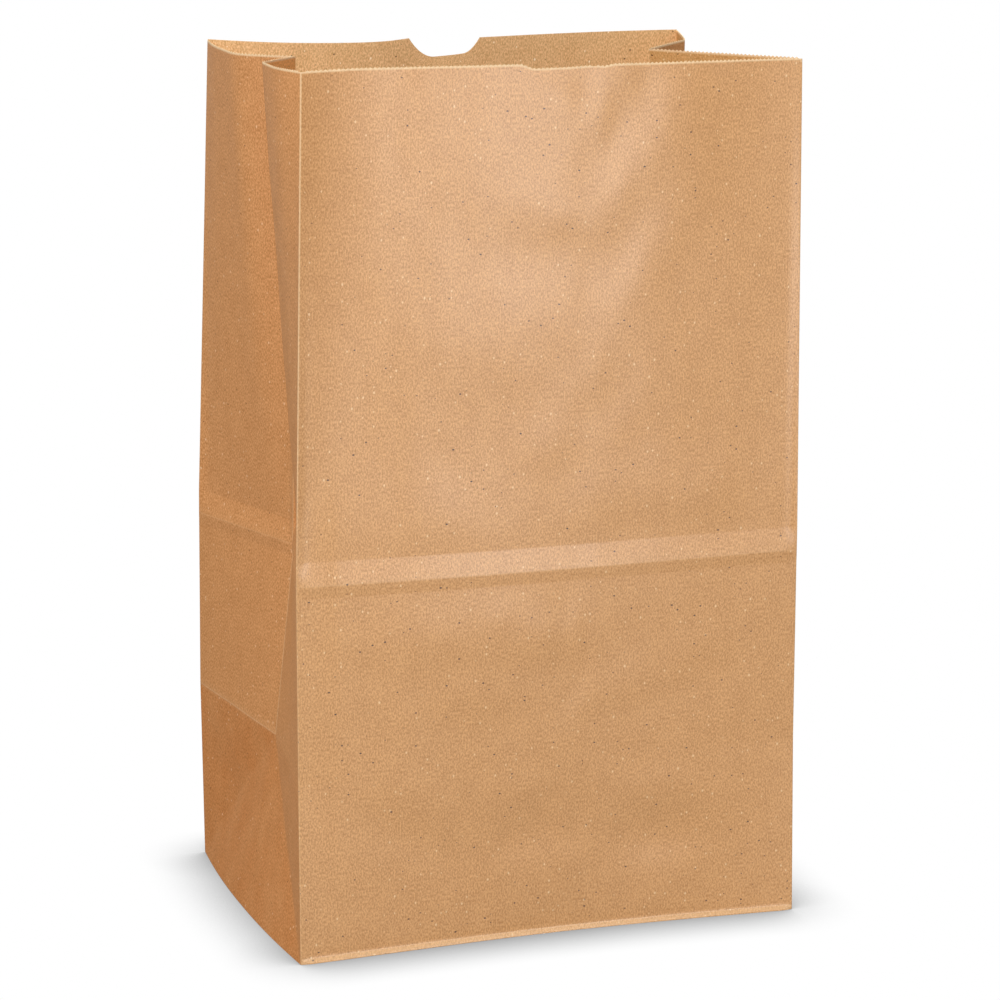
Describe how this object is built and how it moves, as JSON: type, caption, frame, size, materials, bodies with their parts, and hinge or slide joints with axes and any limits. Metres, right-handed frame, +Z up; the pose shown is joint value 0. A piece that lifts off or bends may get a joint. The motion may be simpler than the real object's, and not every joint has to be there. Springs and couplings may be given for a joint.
{
  "type": "paper grocery bag",
  "caption": "Brown kraft paper grocery sack standing open, with tucked side gussets, a block bottom, a saw-cut mouth, a thumb notch and a fold across it from packing.",
  "frame": {"origin": "under the middle of the base, on the surface that the bag stands on", "axes": "+Z up towards the mouth, +X to the right along the front panel, -Y towards the front"},
  "size_m": [0.269, 0.1782, 0.4334],
  "materials": {
    "kraft_paper": "uncoated brown kraft paper, matte, with flecks"
  },
  "bodies": {
    "root": {"paper_bag": "kraft_paper"}
  },
  "joints": []
}
